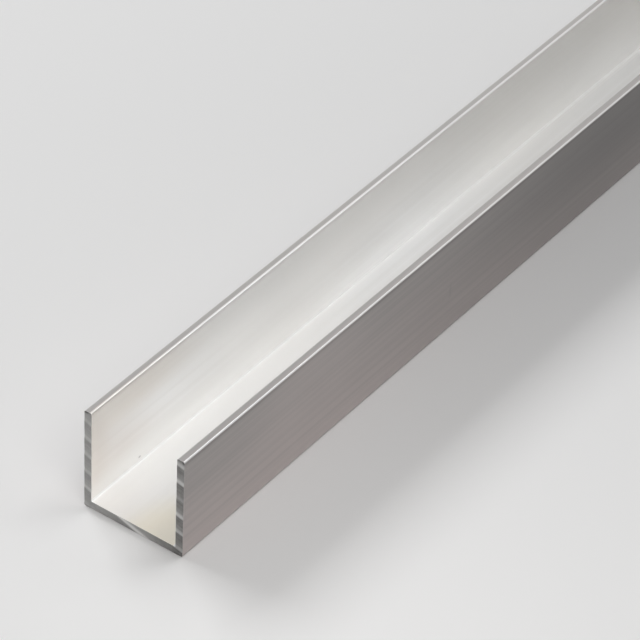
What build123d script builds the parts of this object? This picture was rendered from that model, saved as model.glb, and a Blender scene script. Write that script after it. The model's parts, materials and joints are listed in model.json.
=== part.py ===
from build123d import *
import os

# A straight length of extruded aluminium channel. It lies on its web, with its slot open
# upwards and at both sawn ends. Z is up and Y runs along the bar. The origin is on the
# underside of the web, in the middle of the bar. All lengths are in millimetres.

# Driving dimensions
section_width = 20.0  # across the outside faces of the two flanges
section_height = 20.0  # from the underside of the web to the flange tips
wall_thickness = 1.5  # the same in the web and in both flanges
bar_length = 1000.0  # between the two sawn ends

# Corner radii, as the extrusion die leaves them
heel_radius = 0.4  # outside corners, where a flange meets the underside of the web
root_radius = 0.2  # inside corners, where a flange meets the floor of the slot
tip_radius = 0.3  # both long edges of each flange tip

# Places worked out from them
outside_x = section_width / 2
inside_x = outside_x - wall_thickness


def section_outline():
    """The closed outline of the section, up one flange, across the slot and down the other."""
    right_corners = [
        ((outside_x, 0), heel_radius),
        ((outside_x, section_height), tip_radius),
        ((inside_x, section_height), tip_radius),
        ((inside_x, wall_thickness), root_radius),
    ]
    left_corners = [((-x, z), radius) for (x, z), radius in reversed(right_corners)]
    corners = right_corners + left_corners
    points = [point for point, _ in corners]
    radii = [radius for _, radius in corners]
    return FilletPolyline(points, radius=radii, close=True)


def channel_section():
    """The section carried along the bar, half of its length to each side of the origin."""
    with BuildPart() as bar:
        with BuildSketch(Plane.XZ):
            with BuildLine():
                section_outline()
            make_face()
        extrude(amount=bar_length / 2, both=True)
    return bar.part


os.makedirs("parts", exist_ok=True)
export_step(channel_section(), "parts/channel_section.step")
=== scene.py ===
import json
import logging
import math
from dataclasses import dataclass
from enum import Enum

import bpy
import numpy as np
from mathutils import Matrix, Vector


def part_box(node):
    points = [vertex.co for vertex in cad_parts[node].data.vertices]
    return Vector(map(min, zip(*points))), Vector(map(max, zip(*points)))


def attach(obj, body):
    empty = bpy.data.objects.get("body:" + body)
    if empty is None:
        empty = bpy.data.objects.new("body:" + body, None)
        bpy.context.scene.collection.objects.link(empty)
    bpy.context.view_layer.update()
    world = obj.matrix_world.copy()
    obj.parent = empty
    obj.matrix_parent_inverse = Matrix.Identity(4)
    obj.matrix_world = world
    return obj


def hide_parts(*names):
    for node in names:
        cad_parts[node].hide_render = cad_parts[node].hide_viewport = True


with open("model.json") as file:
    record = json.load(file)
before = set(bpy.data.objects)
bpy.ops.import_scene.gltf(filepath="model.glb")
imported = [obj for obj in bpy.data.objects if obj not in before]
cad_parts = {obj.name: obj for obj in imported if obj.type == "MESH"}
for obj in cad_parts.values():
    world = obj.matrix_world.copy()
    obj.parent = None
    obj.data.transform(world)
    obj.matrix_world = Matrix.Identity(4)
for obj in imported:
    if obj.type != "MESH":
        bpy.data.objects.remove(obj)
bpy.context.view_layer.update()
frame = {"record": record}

NODE = "channel_section"
SLOT = "mill_aluminium"
PIECE = "channel_bar"
AROUND = "around_bar"
MM = 0.001

Pair = tuple[float, float]
Place = tuple[float, float, float]
Tint = tuple[float, float, float]
Colour = tuple[float, float, float, float]
Socket = bpy.types.NodeSocket

log = logging.getLogger("channel_section")


class End(Enum):
    """The two sawn ends of the bar, each by the way its face looks along Y."""

    NEAR = -1
    FAR = 1


class Surface(Enum):
    """The finishes a face of the bar can have, by their place in the mesh's list."""

    MILL = 0
    SAWN = 1


class Graph:
    """A material's or world's nodes, with short ways to add and join them."""

    def __init__(self, owner: bpy.types.ID) -> None:
        """Empties the owner's node tree and keeps it.

        Args:
            owner: a material or world.
        """
        owner.use_nodes = True
        self.tree = owner.node_tree
        self.tree.nodes.clear()

    def add(self, kind: str, inputs: dict | None = None, **settings: object) -> bpy.types.Node:
        """Adds one node.

        Args:
            kind: Blender's name for the node.
            inputs: values or output sockets, by the name or place of the input.
            settings: the node's own properties.

        Returns:
            The new node.
        """
        node = self.tree.nodes.new(kind)
        for name, value in settings.items():
            setattr(node, name, value)
        for name, value in (inputs or {}).items():
            if isinstance(value, Socket):
                self.tree.links.new(value, node.inputs[name])
            else:
                node.inputs[name].default_value = value
        return node

    def maths(self, operation: str, *values: object) -> Socket:
        """One kind of sum on numbers or number sockets, taken from the first to the last.

        Args:
            operation: Blender's name for the sum.
            values: one number, or two or more that are taken in turn.

        Returns:
            The socket with the result.
        """
        node = self.add("ShaderNodeMath", dict(enumerate(values[:2])), operation=operation)
        for value in values[2:]:
            node = self.add("ShaderNodeMath", {0: node.outputs[0], 1: value}, operation=operation)
        return node.outputs[0]

    def weigh(self, share: float, first: Socket, second: Socket) -> Socket:
        """One number times its share, plus another times the rest."""
        rest = self.maths("MULTIPLY", second, 1.0 - share)
        return self.maths("ADD", self.maths("MULTIPLY", first, share), rest)

    def blend(self, share: object, first: object, second: object) -> Socket:
        """A colour between two colours or colour sockets, by a share from 0 to 1.

        The mix node has its colours at places 6 and 7, and the result at place 2.

        Args:
            share: how much of the second colour there is.
            first: the colour at 0.
            second: the colour at 1.

        Returns:
            The socket with the colour.
        """
        return self.add("ShaderNodeMix", {0: share, 6: first, 7: second}, data_type="RGBA").outputs[2]

    def split(self, vector: Socket) -> tuple[Socket, Socket, Socket]:
        """The three parts of a vector: across the bar, along it and up."""
        return tuple(self.add("ShaderNodeSeparateXYZ", {0: vector}).outputs)

    def metal(self, colour: Socket, roughness: Socket, relief: Socket, depth: float, **more: object) -> None:
        """Ends a material as bare metal with a fine relief.

        Args:
            colour: the metal's colour.
            roughness: how dull its gloss is.
            relief: how high the surface stands, as a number.
            depth: what that number is counted in, in metres.
            more: the shader's other inputs, by name.
        """
        bump = self.add("ShaderNodeBump", {"Height": relief, "Strength": 1.0, "Distance": depth})
        inputs = {"Base Color": colour, "Metallic": 1.0, "Roughness": roughness, "Normal": bump.outputs[0]}
        shader = self.add("ShaderNodeBsdfPrincipled", inputs | more)
        self.add("ShaderNodeOutputMaterial", {"Surface": shader.outputs[0]})


@dataclass(frozen=True)
class Ramp:
    """A number carried from one range to another, smoothly and held at both ends.

    The first range goes from low to high, and the second one from to_low to to_high.
    """

    low: float
    high: float
    to_low: float = 0.0
    to_high: float = 1.0

    def of(self, graph: Graph, value: object, start: float = 0.0, unit: float = 1.0) -> Socket:
        """Carries one number over.

        Args:
            graph: the nodes to add to.
            value: the number or socket to carry over.
            start: where low and high are counted from.
            unit: what low and high are counted in.

        Returns:
            The socket with the result.
        """
        inputs = {
            "Value": value,
            "From Min": start + unit * self.low,
            "From Max": start + unit * self.high,
            "To Min": self.to_low,
            "To Max": self.to_high,
        }
        node = graph.add("ShaderNodeMapRange", inputs, interpolation_type="SMOOTHSTEP")
        return node.outputs["Result"]


@dataclass(frozen=True)
class Grain:
    """Soft random values from 0 to 1, with finer layers laid over the first.

    Its waves are how many a metre holds along each axis. Its roughness is how strong each
    finer layer is.
    """

    waves: Place
    layers: float
    roughness: float = 0.5

    def of(self, graph: Graph, place: Socket) -> Socket:
        """The value at a place.

        Args:
            graph: the nodes to add to.
            place: the coordinates, in metres.

        Returns:
            The socket with the value.
        """
        stretched = graph.add("ShaderNodeMapping", {"Vector": place, "Scale": self.waves}).outputs[0]
        inputs = {"Vector": stretched, "Scale": 1.0, "Detail": self.layers, "Roughness": self.roughness}
        return graph.add("ShaderNodeTexNoise", inputs).outputs["Fac"]


@dataclass(frozen=True)
class Blemish:
    """A mark on one face, soft at its rim.

    Its reach is how far it goes each way along X, Y and Z. Within its core, a share of that
    reach, it has its full strength.
    """

    centre: Place
    reach: Place
    strength: float
    shade: Colour
    core: float = 0.3

    def over(self, graph: Graph, place: Socket, colour: Socket) -> Socket:
        """The colour under the mark, carried towards its shade by its strength.

        Args:
            graph: the material's nodes.
            place: the bar's own coordinates.
            colour: the colour without the mark.

        Returns:
            The socket with the colour.
        """
        aside = graph.add("ShaderNodeVectorMath", {0: place, 1: self.centre}, operation="SUBTRACT")
        scaled = graph.add("ShaderNodeVectorMath", {0: aside.outputs[0], 1: self.reach}, operation="DIVIDE")
        away = graph.add("ShaderNodeVectorMath", {0: scaled.outputs[0]}, operation="LENGTH").outputs["Value"]
        share = Ramp(self.core, 1.0, self.strength, 0.0).of(graph, away)
        return graph.blend(share, colour, self.shade)


@dataclass(frozen=True)
class MillFinish:
    """Bare aluminium as it leaves the die: satin, with fine lines that run along the bar.

    The lines are noise stretched along the bar, so they change quickly across it and hardly
    at all along it. Broader noise stands for faint smears and warm patches from handling.
    The slot's faces stay bright, and a painted highlight runs along their roots. The outside
    and the tips are darker and warmer than the slot: painted shade for the dark surroundings
    that they mirror, darker still towards the top, with a painted shadow in a line just under
    the tips, while the edges beside the tips carry a painted highlight. The outside's painted
    shade also grows over the first part of the bar, as light falls off, and comes half of the
    way back beyond it.
    """

    half_width: float
    height: float
    wall: float
    near_end: float

    inside_light: Colour = (0.932, 0.931, 0.928, 1.0)
    inside_dark: Colour = (0.875, 0.872, 0.864, 1.0)
    inside_warm: Colour = (0.92, 0.908, 0.887, 1.0)
    # Painted highlight along the slot's roots, brightest on the wall's side.
    root_highlight_wall: Colour = (0.995, 0.993, 0.985, 1.0)
    root_highlight_web: Colour = (0.93, 0.928, 0.92, 1.0)
    # Painted shade: the outside's greys are darker and warmer than the slot's, for the dark surroundings
    # that the outside mirrors.
    outside_light: Colour = (0.582, 0.527, 0.515, 1.0)
    outside_dark: Colour = (0.398, 0.381, 0.375, 1.0)
    # Painted shade: the darker grey away from the near end, where light falls off.
    outside_far: Colour = (0.256, 0.247, 0.243, 1.0)
    # Painted shadow in a thin line just under the tips.
    under_tip: Colour = (0.20, 0.193, 0.19, 1.0)

    # Colours of the slot's patches, paler, warmer or darker than the metal round them, and of a speck.
    warm_dark: Colour = (0.785, 0.733, 0.69, 1.0)
    paler: Colour = (0.965, 0.957, 0.943, 1.0)
    dull: Colour = (0.855, 0.85, 0.835, 1.0)
    rose: Colour = (0.89, 0.848, 0.80, 1.0)
    cream: Colour = (0.98, 0.93, 0.81, 1.0)
    speck: Colour = (0.30, 0.29, 0.28, 1.0)

    streaks: Grain = Grain((900.0, 2.5, 900.0), 4.0, 0.6)
    fine_lines: Grain = Grain((5200.0, 6.0, 5200.0), 2.0)
    smears: Grain = Grain((60.0, 28.0, 60.0), 3.0)
    patches: Grain = Grain((38.0, 11.0, 38.0), 1.0)
    streak_share: float = 0.7
    tone: Ramp = Ramp(0.36, 0.64)
    warmth: Ramp = Ramp(0.42, 0.62, 0.0, 0.8)

    root_wall: Ramp = Ramp(0.02 * MM, 0.04 * MM)
    near_root: Ramp = Ramp(0.25 * MM, 0.50 * MM, 1.0, 0.0)

    dark_lines: float = 0.3
    # Painted shade: the outside grows darker towards the top.
    darker_up: Ramp = Ramp(0.0, 1.0, 0.0, 0.6)
    # Painted shade for light that falls off along the bar: it grows away from the near end, comes halfway
    # back further on, and is less at the foot and none on the tips.
    darker_along: Ramp = Ramp(40.0 * MM, 128.0 * MM, 0.0, 0.9)
    halfway_back: Ramp = Ramp(180.0 * MM, 420.0 * MM, 1.0, 0.5)
    less_at_foot: Ramp = Ramp(0.0, 0.7, 0.58, 1.0)
    below_tip: Ramp = Ramp(-0.6 * MM, -0.3 * MM, 1.0, 0.0)
    # The painted shadow's band just under the tips' edges.
    shade_under: Ramp = Ramp(-1.1 * MM, -0.6 * MM, 0.0, 0.45)
    shade_over: Ramp = Ramp(-0.35 * MM, -0.2 * MM, 1.0, 0.0)

    # How far in the outside's painted shade reaches, and how much of it each tip takes.
    shaded: Ramp = Ramp(-0.25 * MM, -0.08 * MM)
    tip_shade: Ramp = Ramp(-1.0 * MM, 1.0 * MM, 0.79, 0.885)
    # Painted highlight on the tips' edges, over a wider band at the left tip's inner edge.
    left_highlight: Ramp = Ramp(-1.0 * MM, 1.0 * MM, 0.2 * MM, 0.0)
    edge_highlight: Ramp = Ramp(-0.30 * MM, -0.20 * MM, 1.0, 0.25)

    roughness: Ramp = Ramp(0.45, 0.85, 0.40, 0.30)
    line_gloss: float = 0.3
    gloss_across: float = 0.6
    streak_depth: float = 1.5
    line_depth: float = 0.004 * MM

    def on_wall(self, x: float, place: Pair, reach: Pair, strength: float, shade: Colour) -> Blemish:
        """A mark on an upright face.

        Args:
            x: the face's place across the bar, in metres.
            place: the mark's way from the near end and its height, in millimetres.
            reach: how far it goes each way along the bar and up, in millimetres.
            strength: how far it carries the colour towards its shade.
            shade: the mark's own colour.

        Returns:
            The mark.
        """
        centre = (x, self.near_end + place[0] * MM, place[1] * MM)
        return Blemish(centre, (MM, reach[0] * MM, reach[1] * MM), strength, shade)

    def on_web(self, place: Pair, reach: Pair, strength: float, shade: Colour) -> Blemish:
        """A mark on the floor of the slot.

        Args:
            place: the mark's place across the bar and its way from the near end, in millimetres.
            reach: how far it goes each way across the bar and along it, in millimetres.
            strength: how far it carries the colour towards its shade.
            shade: the mark's own colour.

        Returns:
            The mark.
        """
        centre = (place[0] * MM, self.near_end + place[1] * MM, self.wall)
        return Blemish(centre, (reach[0] * MM, reach[1] * MM, MM), strength, shade)

    def slot_marks(self) -> tuple[Blemish, ...]:
        """The marks in the slot's near part.

        Returns:
            Paler, warm and greyer patches, warmer darker ones and a speck, in the order they lie.
        """
        left = self.wall - self.half_width
        return (
            self.on_wall(left, (60.0, 16.0), (60.0, 9.0), 0.9, self.paler),
            self.on_wall(left, (0.0, 18.0), (36.0, 7.5), 0.9, self.rose),
            self.on_web((5.5, 0.0), (9.5, 16.0), 0.9, self.cream),
            self.on_wall(left, (0.0, 8.0), (22.0, 9.0), 0.6, self.warm_dark),
            self.on_wall(left, (0.0, 11.0), (6.0, 11.0), 0.6, self.warm_dark),
            self.on_wall(left, (145.0, 8.0), (62.0, 15.0), 0.9, self.dull),
            self.on_wall(left, (20.0, 3.5), (28.0, 5.0), 0.6, self.dull),
            self.on_wall(left, (105.0, 4.0), (60.0, 6.0), 0.3, self.dull),
            self.on_web((-4.0, 34.0), (7.0, 42.0), 0.9, self.paler),
            self.on_wall(left, (12.4, 2.6), (0.45, 0.3), 0.5, self.speck),
        )

    def outer_marks(self) -> tuple[Blemish, ...]:
        """A lighter patch and a short upright scuff on the outside of the right flange."""
        return (
            self.on_wall(self.half_width, (34.0, 13.0), (22.0, 13.0), 0.35, self.outside_light),
            self.on_wall(self.half_width, (73.5, 8.5), (0.5, 2.4), 0.22, self.speck),
        )

    def slot_colour(self, graph: Graph, place: Socket, tone: Socket) -> Socket:
        """The colour inside the slot: two greys by tone, warm patches, marks and painted root highlights.

        Args:
            graph: the material's nodes.
            place: the bar's own coordinates.
            tone: where the fine lines are light, from 0 to 1.

        Returns:
            The socket with the colour.
        """
        colour = graph.blend(tone, self.inside_dark, self.inside_light)
        colour = graph.blend(self.warmth.of(graph, self.patches.of(graph, place)), colour, self.inside_warm)
        for mark in self.slot_marks():
            colour = mark.over(graph, place, colour)
        x, _, z = graph.split(place)
        beside = graph.maths("SUBTRACT", self.half_width - self.wall, graph.maths("ABSOLUTE", x))
        above = graph.maths("SUBTRACT", z, self.wall)
        # Painted highlight along the roots, lighter on the wall's side than on the web's.
        corner = graph.blend(self.root_wall.of(graph, above), self.root_highlight_web, self.root_highlight_wall)
        close = self.near_root.of(graph, graph.maths("MAXIMUM", beside, above))
        return graph.blend(close, colour, corner)

    def outer_colour(self, graph: Graph, place: Socket, tone: Socket) -> Socket:
        """The outside's colour: two greys by tone, painted shade towards the top and away from the
        near end, and a painted shadow just under the tips.

        Args:
            graph: the material's nodes.
            place: the bar's own coordinates.
            tone: where the fine lines are light, from 0 to 1.

        Returns:
            The socket with the colour.
        """
        _, y, z = graph.split(place)
        # Painted shade: darker towards the top.
        higher = self.darker_up.of(graph, z, unit=self.height)
        darker = graph.maths("MULTIPLY", graph.maths("SUBTRACT", 1.0, tone), self.dark_lines)
        colour = graph.blend(graph.maths("ADD", higher, darker), self.outside_light, self.outside_dark)
        # Painted shade where light falls off along the bar, less at the foot and none on the tips.
        along = self.darker_along.of(graph, y, start=self.near_end)
        beyond = self.halfway_back.of(graph, y, start=self.near_end)
        foot = self.less_at_foot.of(graph, z, unit=self.height)
        below_tip = self.below_tip.of(graph, z, start=self.height)
        farther = graph.maths("MULTIPLY", along, beyond, foot, below_tip)
        colour = graph.blend(farther, colour, self.outside_far)
        # Painted shadow in a thin band just under the tips.
        shade_under = self.shade_under.of(graph, z, start=self.height)
        shade_over = self.shade_over.of(graph, z, start=self.height)
        return graph.blend(graph.maths("MULTIPLY", shade_under, shade_over), colour, self.under_tip)

    def outside_shade_share(self, graph: Graph, place: Socket) -> Socket:
        """The share of the outside's painted shade: 1 outside, a little less on the tips, 0 in
        the slot, and little on the tips' edges, which carry a painted highlight.

        Args:
            graph: the material's nodes.
            place: the bar's own coordinates.

        Returns:
            The socket with the share.
        """
        x, _, z = graph.split(place)
        outward = graph.maths("SUBTRACT", graph.maths("ABSOLUTE", x), self.half_width)
        inward = graph.maths("SUBTRACT", -self.wall, outward)
        above = graph.maths("SUBTRACT", z, self.height)
        outermost = graph.maths("MAXIMUM", outward, graph.maths("MULTIPLY", z, -1.0))
        on_top = graph.maths("MULTIPLY", self.shaded.of(graph, above), self.tip_shade.of(graph, x))
        shaded = graph.maths("MAXIMUM", self.shaded.of(graph, outermost), on_top)
        # Painted highlight: the tips' edges take little of the painted shade.
        inner_edge = graph.maths("ADD", inward, self.left_highlight.of(graph, x))
        edge = graph.maths("ADD", graph.maths("MAXIMUM", outward, inner_edge), above)
        return graph.maths("MULTIPLY", shaded, self.edge_highlight.of(graph, edge))

    def material(self) -> bpy.types.Material:
        """Makes the finish.

        Returns:
            A material that reads the bar's own coordinates and its map round the section.
        """
        material = bpy.data.materials.new(SLOT)
        graph = Graph(material)
        place = graph.add("ShaderNodeTexCoord").outputs["Object"]
        streaks = self.streaks.of(graph, place)
        lines = self.fine_lines.of(graph, place)
        share = graph.weigh(self.streak_share, streaks, self.smears.of(graph, place))
        tone = self.tone.of(graph, share)
        inside = self.slot_colour(graph, place, tone)
        outside = self.outer_colour(graph, place, tone)
        for mark in self.outer_marks():
            outside = mark.over(graph, place, outside)
        # The outside's painted shade takes over from the slot's colour.
        colour = graph.blend(self.outside_shade_share(graph, place), inside, outside)
        lined = graph.maths("ADD", share, graph.maths("MULTIPLY", lines, self.line_gloss))
        relief = graph.maths("ADD", lines, graph.maths("MULTIPLY", streaks, self.streak_depth))
        roughness = self.roughness.of(graph, lined)
        around = graph.add("ShaderNodeTangent", direction_type="UV_MAP", uv_map=AROUND).outputs[0]
        drawn_out = {"Anisotropic": self.gloss_across, "Tangent": around}
        graph.metal(colour, roughness, relief, self.line_depth, **drawn_out)
        return material


@dataclass(frozen=True)
class SawMarks:
    """The arcs that a round saw leaves across a cut end.

    The blade sinks straight down as it turns, so every mark is the same circle, a pitch
    below the last one. Each is a short, steep step, and a long, shallow ramp above it.
    """

    blade_radius: float = 150.0 * MM
    centre_x: float = 46.0 * MM
    pitch: float = 3.48 * MM
    start: float = 0.95
    step: float = 0.18
    depth: float = 0.05 * MM
    lowest: int = 41
    strengths: tuple[float, ...] = (0.5, 0.75, 0.68, 0.62, 0.75, 0.42, 0.85, 0.75, 0.7)

    def relief(self, x: np.ndarray, z: np.ndarray) -> np.ndarray:
        """How deep the cut is at each point, in metres.

        The number of marks below a point is (z + sqrt(radius squared - (x - centre) squared))
        / pitch + start. The cut deepens over the step and comes back over the ramp.

        Args:
            x: places across the bar, in metres.
            z: heights, in metres.

        Returns:
            The depth, from 0 to the full depth, of the same shape.
        """
        rise = np.sqrt(self.blade_radius**2 - (x - self.centre_x) ** 2)
        turns = (z + rise) / self.pitch + self.start
        phase = turns - np.floor(turns)
        return self.depth * np.minimum(phase / self.step, (1.0 - phase) / (1.0 - self.step))

    def height(self, graph: Graph, x: Socket, z: Socket) -> Socket:
        """The height above the circle of the lowest mark, as nodes.

        Args:
            graph: the material's nodes.
            x: the place across the bar.
            z: the height.

        Returns:
            The socket with the height, in metres.
        """
        aside = graph.maths("POWER", graph.maths("SUBTRACT", self.centre_x, x), 2.0)
        rise = graph.maths("SQRT", graph.maths("SUBTRACT", self.blade_radius**2, aside))
        return graph.maths("ADD", z, rise)

    def strength(self, graph: Graph, number: Socket) -> Socket:
        """How strongly a mark's painted highlight shines, as nodes: a stair with an even tread for each
        mark.

        Args:
            graph: the material's nodes.
            number: the mark's number, counted upwards.

        Returns:
            The socket with the strength.
        """
        ramp = graph.add("ShaderNodeValToRGB")
        count = len(self.strengths)
        place = graph.maths("DIVIDE", graph.maths("SUBTRACT", number, self.lowest - 0.5), count)
        graph.tree.links.new(place, ramp.inputs[0])
        ramp.color_ramp.interpolation = "CONSTANT"
        stops = ramp.color_ramp.elements
        stops.remove(stops[1])
        for index, strength in enumerate(self.strengths):
            stop = stops[0] if index == 0 else stops.new(index / count)
            stop.color = (strength, strength, strength, 1.0)
        return ramp.outputs[0]


@dataclass(frozen=True)
class SawnFinish:
    """Freshly sawn aluminium, scored by the blade in long arcs: darker than the faces, partly as
    a rough cut is and partly as painted shade.

    Each mark carries a painted highlight along its step, more strongly in some places than in
    others, with painted shade just below it. The right side of the cut is darker with painted
    shade, its web is painted lighter, and its top edge and the tips' outer corners carry painted
    shade. The ramps of its rise, crest and shoulder are counted in steps.
    """

    marks: SawMarks
    half_width: float
    top: float
    near_end: float

    # The lightest colour paints the marks' highlights; the darkest paints shade below them, along the top
    # edge and in the tips' corners.
    flash: Colour = (0.95, 0.945, 0.94, 1.0)
    bright: Colour = (0.67, 0.664, 0.657, 1.0)
    # The cut's grey, darker than the faces partly as a rough cut is and partly as painted shade.
    plain: Colour = (0.31, 0.307, 0.30, 1.0)
    # Painted shade: the grey of the cut's right side.
    right_shade: Colour = (0.165, 0.162, 0.156, 1.0)
    dark: Colour = (0.115, 0.113, 0.11, 1.0)

    sideways: Ramp = Ramp(-1.0, 1.0)
    on_web: Ramp = Ramp(-3.0 * MM, -1.0 * MM, 1.0, 0.0)
    # Painted light: how much lighter the web's part of the cut is.
    web_bright: float = 0.22

    # The painted highlight on each mark and the painted shade just below it.
    rise: Ramp = Ramp(0.0, 0.7)
    crest: Ramp = Ramp(0.9, 2.0, 0.65, 0.0)
    shoulder: Ramp = Ramp(1.0, 4.5, 1.0, 0.0)
    web_shoulder: Ramp = Ramp(0.0, 1.0, 0.35, 0.15)
    below: Ramp = Ramp(0.72, 0.97, 0.0, 0.35)
    shine: float = 0.43
    web_shine: float = 1.1
    side_shine: Ramp = Ramp(0.0, 1.0, 0.75, 1.15)
    patches: Grain = Grain((150.0, 9.0, 1.0), 1.0)
    patch_shift: float = 0.37
    patch_shine: Ramp = Ramp(0.35, 0.65, 0.8, 1.2)

    scores: Grain = Grain((4200.0, 90.0, 1.0), 3.0, 0.6)
    tearing: Grain = Grain((1400.0, 300.0, 1400.0), 4.0, 0.6)
    score_share: float = 0.6
    score_bright: Ramp = Ramp(0.3, 0.7, 0.0, 0.25)
    score_depth: float = 0.01 * MM
    # Painted shade in a thin band along the cut's top edge.
    top_edge_band: float = 0.25 * MM
    top_edge_shade: Ramp = Ramp(-2.0, -0.5, 0.0, 0.4)
    roughness: Ramp = Ramp(0.0, 1.0, 0.5, 0.36)

    def corner_shade(self) -> tuple[Blemish, ...]:
        """Painted shade in the outer corners of the two tips, where they meet the cut.

        Returns:
            The left spot and the right one.
        """
        left = (0.35 * MM - self.half_width, self.near_end, self.top - 0.12 * MM)
        right = (self.half_width - 0.18 * MM, self.near_end, self.top - 0.30 * MM)
        return (
            Blemish(left, (0.8 * MM, MM, 0.5 * MM), 0.9, self.dark),
            Blemish(right, (0.45 * MM, MM, 0.45 * MM), 0.9, self.dark),
        )

    def strength(self, graph: Graph, number: Socket, x: Socket, across: Socket) -> Socket:
        """How strongly each mark's painted highlight shines: by its own number, by patches and by the side.

        Args:
            graph: the material's nodes.
            number: the mark's number.
            x: the place across the bar.
            across: the same, from 0 on the left to 1 on the right.

        Returns:
            The socket with the strength.
        """
        shift = graph.maths("MULTIPLY", number, self.patch_shift)
        chance = graph.add("ShaderNodeCombineXYZ", {"X": x, "Y": shift}).outputs[0]
        uneven = self.patch_shine.of(graph, self.patches.of(graph, chance))
        sided = self.side_shine.of(graph, across)
        return graph.maths("MULTIPLY", self.marks.strength(graph, number), uneven, sided)

    def streak(self, graph: Graph, phase: Socket, web: Socket, strength: Socket) -> Socket:
        """The painted highlight on a mark: a quick rise over its step, a crest and a long shoulder.

        Args:
            graph: the material's nodes.
            phase: the way from one mark up to the next, from 0 to 1.
            web: 1 on the web, 0 on the flanges.
            strength: how strongly the mark shines.

        Returns:
            The socket with the shine.
        """
        step = self.marks.step
        rise = self.rise.of(graph, phase, unit=step)
        crest = self.crest.of(graph, phase, unit=step)
        shoulder = self.shoulder.of(graph, phase, unit=step)
        shoulder = graph.maths("MULTIPLY", shoulder, self.web_shoulder.of(graph, web))
        return graph.maths("MULTIPLY", rise, graph.maths("ADD", crest, shoulder), strength)

    def material(self) -> bpy.types.Material:
        """Makes the finish.

        Returns:
            A material whose scores and marks follow the blade's circles.
        """
        material = bpy.data.materials.new("sawn_aluminium")
        graph = Graph(material)
        place = graph.add("ShaderNodeTexCoord").outputs["Object"]
        x, _, z = graph.split(place)
        height = self.marks.height(graph, x, z)
        turns = graph.maths("ADD", graph.maths("DIVIDE", height, self.marks.pitch), self.marks.start)
        number = graph.maths("FLOOR", turns)
        phase = graph.maths("SUBTRACT", turns, number)
        across = self.sideways.of(graph, x, unit=self.half_width)
        web = self.on_web.of(graph, graph.maths("ABSOLUTE", x), start=self.half_width)
        strength = self.strength(graph, number, x, across)
        streak = self.streak(graph, phase, web, strength)
        below = graph.maths("MULTIPLY", self.below.of(graph, phase), strength)
        arcs = graph.add("ShaderNodeCombineXYZ", {"X": height, "Y": x}).outputs[0]
        scored = graph.weigh(self.score_share, self.scores.of(graph, arcs), self.tearing.of(graph, place))
        # Painted shade: darker towards the right side of the cut.
        colour = graph.blend(across, self.plain, self.right_shade)
        # Painted light: the web's part of the cut is lighter.
        colour = graph.blend(graph.maths("MULTIPLY", web, self.web_bright), colour, self.bright)
        # Painted shade just below each mark's step.
        colour = graph.blend(below, colour, self.dark)
        colour = graph.blend(self.score_bright.of(graph, scored), colour, self.bright)
        # Painted highlight along each mark's step, stronger on the web.
        shine = graph.maths("ADD", self.shine, graph.maths("MULTIPLY", web, self.web_shine))
        colour = graph.blend(graph.maths("MULTIPLY", streak, shine), colour, self.flash)
        # Painted shade along the top edge and in the tips' outer corners.
        top_edge_band = self.top_edge_shade.of(graph, z, start=self.top, unit=self.top_edge_band)
        colour = graph.blend(top_edge_band, colour, self.dark)
        for shade_spot in self.corner_shade():
            colour = shade_spot.over(graph, place, colour)
        graph.metal(colour, self.roughness.of(graph, streak), scored, self.score_depth)
        return material


@dataclass(frozen=True)
class DieLines:
    """The faint lines that the die's edge draws along the whole bar.

    Narrow lines are bell-shaped grooves at random places round the section. They wander a
    little, and fade in and out along the bar. Broad waves are what the die's wear leaves.
    """

    seed: int = 7
    grooves: int = 110
    groove_depth: Pair = (0.001 * MM, 0.007 * MM)
    groove_width: Pair = (0.12 * MM, 0.42 * MM)
    bends: Pair = (2.0, 9.0)
    wander: float = 0.08 * MM
    fade: float = 0.35
    waves: int = 9
    wave_depth: float = 0.006 * MM
    wave_length: Pair = (2.2 * MM, 9.0 * MM)
    wave_bend: float = 3.0
    wave_drift: float = 0.35

    def relief(self, around: np.ndarray, along: np.ndarray, whole: float) -> np.ndarray:
        """How far the surface lies inside its true place, in metres.

        Each groove adds depth times exp(-(distance / width) squared), where its place wanders
        by a sine of bend times the way along, and its depth fades by a sine twice as quick.
        Each wave adds depth times half of (1 + cos(2 pi place / length + drift)), and the
        waves are averaged.

        Args:
            around: the distance of each point round the outline.
            along: the place of each station along the bar.
            whole: the length of the whole outline.

        Returns:
            An array of stations by points.
        """
        chance = np.random.default_rng(self.seed)
        where = chance.uniform(0.0, whole, self.grooves)[:, None, None]
        deep = chance.uniform(*self.groove_depth, self.grooves)[:, None, None]
        wide = chance.uniform(*self.groove_width, self.grooves)[:, None, None]
        turn = chance.uniform(0.0, 2 * math.pi, (2, self.grooves))[:, :, None, None]
        bend = chance.uniform(*self.bends, (2, self.grooves))[:, :, None, None]
        stations = along[None, :, None]
        wander = self.wander * np.sin(bend[0] * stations + turn[0])
        strength = 1.0 - self.fade + self.fade * np.sin(bend[1] * 2 * stations + turn[1])
        gap = around[None, None, :] - where - wander
        gap = gap - whole * np.round(gap / whole)
        grooves = (deep * strength * np.exp(-((gap / wide) ** 2))).sum(0)
        counts = np.round(whole / chance.uniform(*self.wave_length, self.waves))[:, None, None]
        shift = chance.uniform(0.0, 2 * math.pi, self.waves)[:, None, None]
        drift = self.wave_drift * np.sin(self.wave_bend * stations + shift)
        waves = np.cos(2 * math.pi * counts * around[None, None, :] / whole + shift + drift)
        return grooves + (self.wave_depth * (1.0 + waves) / 2).mean(0)


def straight(start: Pair, end: Pair, count: int) -> np.ndarray:
    """Evenly spaced points from start up to, and not with, end, as an array of x and z."""
    share = np.arange(count)[:, None] / count
    return np.array(start) * (1.0 - share) + np.array(end) * share


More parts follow.
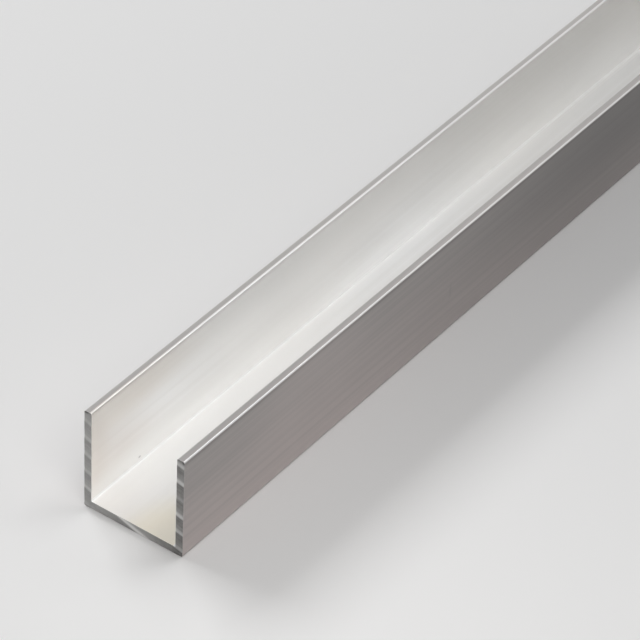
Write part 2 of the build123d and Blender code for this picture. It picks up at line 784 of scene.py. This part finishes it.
def quarter(centre: Pair, radius: float, first: float, last: float, count: int) -> np.ndarray:
    """Points of an arc: centre plus radius times the cosine and sine of an even run of angles.

    Args:
        centre: the arc's centre, as x and z.
        radius: the arc's radius.
        first: the angle it starts at, in degrees.
        last: the angle it ends before, in degrees.
        count: how many points it has.

    Returns:
        An array of x and z.
    """
    angle = np.radians(first + (last - first) * np.arange(count) / count)
    return np.array(centre) + radius * np.stack([np.cos(angle), np.sin(angle)], 1)


def bands(rings: int, points: int) -> np.ndarray:
    """The faces between closed rings of points that are numbered ring after ring.

    Each face joins a point and the next one of its ring with their partners in the ring
    after it.

    Args:
        rings: how many rings there are.
        points: how many points each has.

    Returns:
        An array of faces by four corners.
    """
    grid = np.arange(rings * points).reshape(rings, points)
    beside = np.roll(grid, -1, 1)
    return np.stack([grid[:-1], beside[:-1], beside[1:], grid[1:]], 2).reshape(-1, 4)


def lay_map(mesh: bpy.types.Mesh, name: str, uv: np.ndarray) -> None:
    """Gives a mesh a map from the U and V of every corner of its faces."""
    layer = mesh.uv_layers.new(name=name)
    layer.data.foreach_set("uv", uv.astype(np.float32).ravel())


def towards(azimuth: float, elevation: float) -> np.ndarray:
    """The way to a lamp or camera, with azimuth 0 off the near end and 90 on the right.

    It is (sin azimuth cos elevation, -cos azimuth cos elevation, sin elevation).

    Args:
        azimuth: the angle round the bar, in degrees.
        elevation: the angle above level, in degrees.

    Returns:
        The way, of length 1.
    """
    turn, rise = np.radians([azimuth, elevation])
    return np.array([np.sin(turn) * np.cos(rise), -np.cos(turn) * np.cos(rise), np.sin(rise)])


@dataclass
class ChannelBar:
    """The whole bar: its section carried from one sawn end to the other.

    The section's outer chain of points runs from the right flange's tip, down, under the web
    and up to the left tip. Its inner chain runs the same way inside the slot, point for point,
    so that a straight line from each to its partner crosses the wall.
    """

    half_width: float
    height: float
    wall: float
    near_end: float
    far_end: float

    heel_radius: float = 0.4 * MM
    root_radius: float = 0.12 * MM
    tip_radius: float = 0.3 * MM
    edge_break: float = 0.03 * MM
    lead: tuple[float, ...] = (0.06 * MM, 0.12 * MM, 0.3 * MM, 0.7 * MM)
    settled: float = 1.5 * MM

    tip_steps: int = 6
    flange_steps: int = 140
    corner_steps: int = 8
    web_steps: int = 64
    wall_steps: int = 8
    break_steps: int = 4
    stations: int = 64

    end_square: float = 0.11
    map_gap: float = 0.004
    lines: DieLines = DieLines()
    marks: SawMarks = SawMarks()

    def half_chains(self) -> tuple[np.ndarray, np.ndarray]:
        """The right half of the section, from the tip to the web's middle.

        Returns:
            The outer chain and the inner one, as arrays of x and z of the same length. The
            root's arc has three times a corner's steps, as it stands opposite the heel and
            the wall's thickness on either side of it.
        """
        outside, top = self.half_width, self.height
        inside, floor = outside - self.wall, self.wall
        tip, heel, root = self.tip_radius, self.heel_radius, self.root_radius
        bend = self.corner_steps
        outer = [
            quarter((outside - tip, top - tip), tip, 90.0, 0.0, self.tip_steps),
            straight((outside, top - tip), (outside, floor + root), self.flange_steps),
            straight((outside, floor + root), (outside, heel), bend),
            quarter((outside - heel, heel), heel, 0.0, -90.0, bend),
            straight((outside - heel, 0.0), (inside - root, 0.0), bend),
            straight((inside - root, 0.0), (0.0, 0.0), self.web_steps),
        ]
        inner = [
            quarter((inside + tip, top - tip), tip, 90.0, 180.0, self.tip_steps),
            straight((inside, top - tip), (inside, floor + root), self.flange_steps),
            quarter((inside - root, floor + root), root, 0.0, -90.0, 3 * bend),
            straight((inside - root, floor), (0.0, floor), self.web_steps),
        ]
        return np.concatenate(outer), np.concatenate(inner)

    def outline(self) -> tuple[np.ndarray, int]:
        """The closed outline of the section.

        The outer chain comes first, then the left tip, the inner chain backwards and the
        right tip.

        Returns:
            The outline as x and z, and the number of points in each chain.
        """
        outer, inner = self.half_chains()
        middle = np.array([[0.0, 0.0], [0.0, self.wall]])
        flip = np.array([-1.0, 1.0])
        outer = np.concatenate([outer, middle[:1], outer[::-1] * flip])
        inner = np.concatenate([inner, middle[1:], inner[::-1] * flip])
        left = straight(outer[-1], inner[-1], self.wall_steps)[1:]
        right = straight(inner[0], outer[0], self.wall_steps)[1:]
        return np.concatenate([outer, left, inner[::-1], right]), len(outer)

    def rows(self) -> tuple[np.ndarray, np.ndarray]:
        """The stations along the bar, which lie close together at its ends.

        Close to an end the stations follow a small round: inset = radius - sqrt(radius
        squared - (radius - distance) squared). The stations of the lead come after it.

        Returns:
            Each station's place along the bar, and how far its edge is broken there.
        """
        radius = self.edge_break
        near = radius * (1.0 - np.cos(np.linspace(0.0, math.pi / 2, self.break_steps)))
        near = np.concatenate([near, self.lead])
        inset = radius - np.sqrt(np.maximum(radius**2 - np.maximum(radius - near, 0.0) ** 2, 0.0))
        middle = np.linspace(self.near_end + self.settled, self.far_end - self.settled, self.stations)
        along = np.concatenate([self.near_end + near, middle, self.far_end - near[::-1]])
        return along, np.concatenate([inset, np.zeros(self.stations), inset[::-1]])

    def sides(self) -> tuple[np.ndarray, np.ndarray, np.ndarray, int]:
        """The points of all faces along the bar.

        Each point is its place on the outline, moved inwards along the outline's own normal
        by the die lines and, at the ends, by the broken edge. The saw marks move the ends'
        stations along the bar, by a share that falls evenly to nothing at the settled place.

        Returns:
            The points as stations by points by three, the distance round the outline, the
            places along the bar, and the number of points in a chain.
        """
        section, count = self.outline()
        ahead = np.roll(section, -1, 0) - section
        steps = np.hypot(*ahead.T)
        around = np.concatenate([[0.0], np.cumsum(steps)[:-1]])
        direction = ahead / steps[:, None]
        direction = direction + np.roll(direction, 1, 0)
        direction /= np.hypot(*direction.T)[:, None]
        normal = np.stack([-direction[:, 1], direction[:, 0]], 1)
        along, broken = self.rows()
        depth = self.lines.relief(around, along, steps.sum()) + broken[:, None]
        flat = section[None] - normal[None] * depth[:, :, None]
        points = np.empty((len(along), len(section), 3))
        points[:, :, 0] = flat[:, :, 0]
        points[:, :, 1] = along[:, None]
        points[:, :, 2] = flat[:, :, 1]
        cut = self.marks.relief(points[:, :, 0], points[:, :, 2])
        from_near = np.maximum(1.0 - (along - self.near_end) / self.settled, 0.0)
        from_far = np.maximum(1.0 - (self.far_end - along) / self.settled, 0.0)
        points[:, :, 1] += cut * (from_near - from_far)[:, None]
        return points, around, along, count

    def cap(self, ring: np.ndarray, count: int, first: int, end: End) -> tuple[np.ndarray, np.ndarray]:
        """The sawn face inside one end ring.

        A point of the face is its outer point times (1 - share) plus its inner partner times
        share, then pushed into the bar by the saw marks.

        Args:
            ring: the points of the end ring, in the outline's order.
            count: how many points each chain has.
            first: the number of the ring's first point in the mesh.
            end: which end this is.

        Returns:
            The new points, and the numbers of every point of the face, as chain by share.
        """
        steps, total = self.wall_steps, len(ring)
        outer = np.arange(count)
        inner = count + steps - 1 + np.arange(count)[::-1]
        share = (np.arange(1, steps) / steps)[None, :, None]
        inside = slice(1, count - 1)
        new = ring[outer[inside], None] * (1.0 - share) + ring[inner[inside], None] * share
        face = -self.near_end if end is End.NEAR else self.far_end
        new[:, :, 1] = end.value * (face - self.marks.relief(new[:, :, 0], new[:, :, 2]))
        numbers = np.empty((count, steps + 1), int)
        numbers[:, 0] = first + outer
        numbers[:, -1] = first + inner
        numbers[-1, 1:-1] = first + np.arange(count, count + steps - 1)
        numbers[0, 1:-1] = first + np.arange(total - steps + 1, total)[::-1]
        return new.reshape(-1, 3), numbers

    def build(self) -> bpy.types.Object:
        """The bar as one closed mesh, with its sides smooth and its cut edges sharp.

        Returns:
            The bar's object, not yet in the scene.
        """
        points, _, _, count = self.sides()
        rows, total = points.shape[:2]
        quads = [bands(rows, total)]
        vertices = [points.reshape(-1, 3)]
        made = rows * total
        for row, end in ((0, End.NEAR), (rows - 1, End.FAR)):
            new, numbers = self.cap(points[row], count, row * total, end)
            inner = numbers[1:-1, 1:-1]
            inner[...] = made + np.arange(inner.size).reshape(inner.shape)
            made += inner.size
            a, b, c, d = numbers[:-1, :-1], numbers[:-1, 1:], numbers[1:, 1:], numbers[1:, :-1]
            order = (a, b, c, d) if end is End.NEAR else (a, d, c, b)
            quads.append(np.stack(order, 2).reshape(-1, 4))
            vertices.append(new)
        mesh = bpy.data.meshes.new(PIECE)
        faces = np.concatenate(quads)
        mesh.from_pydata(np.concatenate(vertices).tolist(), [], faces.tolist())
        sawn = np.arange(len(faces)) >= len(quads[0])
        mesh.polygons.foreach_set("material_index", np.where(sawn, Surface.SAWN.value, Surface.MILL.value))
        mesh.polygons.foreach_set("use_smooth", np.ones(len(faces), bool))
        self.sharpen(mesh, sawn)
        mesh.update()
        return bpy.data.objects.new(PIECE, mesh)

    def sharpen(self, mesh: bpy.types.Mesh, sawn: np.ndarray) -> None:
        """Marks the edges between the faces along the bar and the sawn ends as sharp.

        Args:
            mesh: the bar's mesh.
            sawn: which of its faces are sawn.
        """
        edges = np.empty(len(mesh.loops), np.int32)
        mesh.loops.foreach_get("edge_index", edges)
        kind = np.repeat(sawn, 4)
        side = np.zeros(len(mesh.edges), bool)
        cut = np.zeros(len(mesh.edges), bool)
        side[edges[~kind]] = True
        cut[edges[kind]] = True
        mesh.edges.foreach_set("use_edge_sharp", side & cut)

    def unroll(self, bar: bpy.types.Object) -> None:
        """Gives the bar its two maps.

        In the first, U is the share of the way round the section and V is the place along the
        bar in metres. In OFBake nothing overlaps: V is the share of the way along the bar
        times the share of the map that the sides take, and each sawn end has a square of its
        own above the sides. The faces of the sides come first, with four corners each.

        Args:
            bar: the bar's object.
        """
        mesh = bar.data
        corners = np.empty(len(mesh.loops), np.int32)
        mesh.loops.foreach_get("vertex_index", corners)
        places = np.empty(len(mesh.vertices) * 3)
        mesh.vertices.foreach_get("co", places)
        places = places.reshape(-1, 3)
        points, around, along, _ = self.sides()
        rows, total = points.shape[:2]
        uv = places[corners][:, [0, 2]] / self.height
        on_side = np.arange(len(corners)) < 4 * total * (rows - 1)
        number = corners[on_side]
        place = around[number % total].reshape(-1, 4)
        whole = around[-1] + self.wall / self.wall_steps
        wraps = place.max(1) - place.min(1) > whole / 2
        place = np.where(wraps[:, None] & (place < whole / 2), place + whole, place)
        uv[on_side, 0] = place.reshape(-1) / whole
        uv[on_side, 1] = along[number // total]
        lay_map(mesh, AROUND, uv)
        square, gap = self.end_square, self.map_gap
        share = (uv[on_side, 1] - self.near_end) / (self.far_end - self.near_end)
        uv[on_side, 0] = gap + (1.0 - 2 * gap) * uv[on_side, 0]
        uv[on_side, 1] = gap + (1.0 - square - 3 * gap) * share
        far = ~on_side & (places[corners, 1] > 0.0)
        uv[far, 0] *= -1.0
        uv[~on_side, 0] += 0.5
        uv[~on_side] *= square - gap
        uv[~on_side] += (gap, 1.0 - square)
        uv[far, 0] += square + gap
        lay_map(mesh, "OFBake", uv)

    def dress(self, bar: bpy.types.Object) -> None:
        """Gives the faces along the bar and the sawn ends their finishes, in that order.

        Args:
            bar: the bar's object.
        """
        mill = MillFinish(self.half_width, self.height, self.wall, self.near_end)
        sawn = SawnFinish(self.marks, self.half_width, self.height, self.near_end)
        for finish in (mill, sawn):
            bar.data.materials.append(finish.material())


@dataclass(frozen=True)
class Softbox:
    """A lamp behind a square of white cloth, turned to the near part of the bar.

    Its glow is the brightness of the cloth, where 1 is white.
    """

    name: str
    azimuth: float
    elevation: float
    distance: float
    width: float
    depth: float
    glow: float
    tint: Tint = (1.0, 1.0, 1.0)

    def hang(self, aim: Vector) -> None:
        """Hangs the lamp at its azimuth, elevation and distance from the point it lights.

        Its power is pi times the cloth's area times its glow.

        Args:
            aim: the point that it faces.
        """
        back = Vector(towards(self.azimuth, self.elevation))
        light = bpy.data.lights.new(self.name, "AREA")
        light.shape = "RECTANGLE"
        light.size, light.size_y = self.width, self.depth
        light.energy = math.pi * self.width * self.depth * self.glow
        light.color = self.tint
        lamp = bpy.data.objects.new(self.name, light)
        lamp.location = aim + back * self.distance
        lamp.rotation_mode = "QUATERNION"
        lamp.rotation_quaternion = back.to_track_quat("Z", "Y")
        lamp.visible_camera = False
        bpy.context.scene.collection.objects.link(lamp)


@dataclass
class Studio:
    """The pale floor and horizon, the soft lamps and the camera, round the bar's near part."""

    near_end: float
    far_end: float

    floor_radius: float = 30.0
    floor_rings: int = 8
    floor_sides: int = 64
    floor_gap: float = 0.05 * MM
    floor_colour: Colour = (0.90, 0.90, 0.90, 1.0)
    lit_length: float = 0.3
    beyond_lit: Ramp = Ramp(0.03, 0.34)
    beyond_shadow: Ramp = Ramp(0.0, 0.10, 0.7, 1.0)
    pale: float = 0.82
    sky: float = 0.18
    horizon: Pair = (0.10, 0.55)

    aim: Place = (0.0, -0.43, 0.01)
    softboxes: tuple[Softbox, ...] = (
        Softbox("key_softbox", 260.0, 42.0, 1.6, 1.06, 0.54, 6.5),
        Softbox("right_back_softbox", 145.0, 40.0, 2.8, 1.08, 0.65, 1.4),
        Softbox("upper_back_softbox", 160.0, 60.0, 2.8, 1.08, 0.75, 4.3),
        Softbox("far_softbox", 180.0, 45.0, 2.8, 1.29, 0.86, 0.53),
        Softbox("left_back_softbox", 200.0, 42.0, 2.8, 1.29, 1.08, 0.47),
        Softbox("low_left_softbox", 220.0, 30.0, 2.8, 0.86, 0.54, 0.79),
        Softbox("end_softbox", 27.0, 42.0, 0.15, 0.06, 0.06, 2.75, (1.0, 0.97, 0.94)),
        Softbox("front_softbox", 20.0, 18.0, 3.0, 2.5, 1.0, 0.5),
    )

    camera_place: Place = (0.278432, -0.855835, 0.411837)
    camera_azimuth: float = 34.4791
    camera_elevation: float = 39.1072
    camera_roll: float = 2.9242
    camera_lens: float = 215.06
    camera_film: float = 36.0
    camera_range: Pair = (0.01, 100.0)

    def floor(self) -> None:
        """Lays a level disc just under the bar: rings of points round one in the middle.

        A ring's radius is the whole radius times the square of its share of the rings, and
        its points are the radius times the cosine and sine of even angles.
        """
        radius = self.floor_radius * np.linspace(0.0, 1.0, self.floor_rings + 1)[1:] ** 2
        angle = np.linspace(0.0, 2 * math.pi, self.floor_sides + 1)[:-1]
        ring = np.stack([np.cos(angle), np.sin(angle)], 1)
        flat = (radius[:, None, None] * ring[None]).reshape(-1, 2)
        flat = np.concatenate([flat, [[0.0, 0.0]]])
        vertices = np.hstack([flat, np.full((len(flat), 1), -self.floor_gap)])
        middle = len(flat) - 1
        quads = bands(self.floor_rings, self.floor_sides)[:, ::-1]
        inmost = np.arange(self.floor_sides)
        fan = np.stack([np.full(self.floor_sides, middle), inmost, np.roll(inmost, -1)], 1)
        mesh = bpy.data.meshes.new("studio_floor")
        mesh.from_pydata(vertices.tolist(), [], quads.tolist() + fan.tolist())
        mesh.materials.append(self.floor_finish())
        floor = bpy.data.objects.new("studio_floor", mesh)
        bpy.context.scene.collection.objects.link(floor)

    def floor_finish(self) -> bpy.types.Material:
        """A matt pale floor, which the camera and the metal see as pale away from the bar too.

        Round the bar's near part it is lit by the lamps alone, so it keeps the bar's shadow,
        and along the rest of the bar it keeps some of it.

        Returns:
            The floor's material.
        """
        material = bpy.data.materials.new("studio_floor")
        graph = Graph(material)
        place = graph.add("ShaderNodeTexCoord").outputs["Object"]
        from_lit = self.distance(graph, place, self.near_end + self.lit_length)
        from_bar = self.distance(graph, place, self.far_end)
        ray = graph.add("ShaderNodeLightPath").outputs
        seen = [ray[f"Is {kind} Ray"] for kind in ("Camera", "Glossy", "Transmission")]
        share = graph.maths(
            "MULTIPLY",
            self.beyond_lit.of(graph, from_lit),
            graph.maths("MAXIMUM", *seen),
            self.beyond_shadow.of(graph, from_bar),
        )
        lit = graph.add("ShaderNodeBsdfDiffuse", {"Color": self.floor_colour})
        pale = graph.add("ShaderNodeEmission", {"Strength": self.pale})
        shader = graph.add("ShaderNodeMixShader", {0: share, 1: lit.outputs[0], 2: pale.outputs[0]})
        graph.add("ShaderNodeOutputMaterial", {"Surface": shader.outputs[0]})
        return material

    def distance(self, graph: Graph, place: Socket, end: float) -> Socket:
        """How far a place is from the bar's middle line between its near end and a station.

        It is the root of x squared plus the square of how far y lies past either of them.

        Args:
            graph: the material's nodes.
            place: the place on the floor.
            end: the station along the bar.

        Returns:
            The socket with the distance, in metres.
        """
        x, y, _ = graph.split(place)
        before, after = graph.maths("SUBTRACT", self.near_end, y), graph.maths("SUBTRACT", y, end)
        past = graph.maths("MAXIMUM", before, after, 0.0)
        squares = graph.maths("ADD", graph.maths("POWER", x, 2.0), graph.maths("POWER", past, 2.0))
        return graph.maths("SQRT", squares)

    def world(self) -> None:
        """A dim grey surround that grows pale towards the horizon, as a studio's wall does."""
        world = bpy.data.worlds.new("studio")
        graph = Graph(world)
        way = graph.add("ShaderNodeTexCoord").outputs["Generated"]
        height = graph.split(way)[2]
        strength = Ramp(*self.horizon, self.pale, self.sky).of(graph, height)
        shader = graph.add("ShaderNodeBackground", {"Color": (1.0, 1.0, 1.0, 1.0), "Strength": strength})
        graph.add("ShaderNodeOutputWorld", {"Surface": shader.outputs[0]})
        bpy.context.scene.world = world

    def camera(self) -> None:
        """The camera, placed and turned as the photo was taken.

        Its back points along the azimuth and elevation, its right lies level, and both its
        right and up then turn by the roll.
        """
        turn, roll = np.radians([self.camera_azimuth, self.camera_roll])
        back = towards(self.camera_azimuth, self.camera_elevation)
        right = np.array([np.cos(turn), np.sin(turn), 0.0])
        up = np.cross(back, right)
        rolled_right = np.cos(roll) * right + np.sin(roll) * up
        rolled_up = np.cos(roll) * up - np.sin(roll) * right
        data = bpy.data.cameras.new("camera")
        data.lens, data.sensor_width = self.camera_lens, self.camera_film
        data.clip_start, data.clip_end = self.camera_range
        camera = bpy.data.objects.new("camera", data)
        matrix = Matrix(np.stack([rolled_right, rolled_up, back], 1).tolist()).to_4x4()
        matrix.translation = Vector(self.camera_place)
        camera.matrix_world = matrix
        bpy.context.scene.collection.objects.link(camera)
        bpy.context.scene.camera = camera

    def set_up(self) -> None:
        """Makes the whole studio round the near part of the bar."""
        self.floor()
        self.world()
        self.camera()
        for softbox in self.softboxes:
            softbox.hang(Vector(self.aim))
        bpy.context.scene.view_settings.view_transform = "Standard"


def read_bar() -> ChannelBar:
    """Reads the bar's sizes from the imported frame.

    Returns:
        The bar, with its width, height and ends from the node's box and its wall from the
        height of the slot's floor.
    """
    low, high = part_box(NODE)
    floor = next(mount for mount in frame["record"]["mounts"] if mount["name"] == "channel_floor")
    return ChannelBar(high.x, high.z, floor["pos_m"][2], low.y, high.y)


def main() -> None:
    """Builds and dresses the bar, and sets up the studio round it."""
    logging.basicConfig(level=logging.INFO, format="%(name)s: %(message)s")
    design = read_bar()
    bar = design.build()
    design.unroll(bar)
    design.dress(bar)
    bpy.context.scene.collection.objects.link(bar)
    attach(bar, "root")
    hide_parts(NODE)
    log.info("channel bar: %d points, %d faces", len(bar.data.vertices), len(bar.data.polygons))
    Studio(design.near_end, design.far_end).set_up()
    log.info("studio: floor, softboxes and camera")


if __name__ == "__main__":
    main()
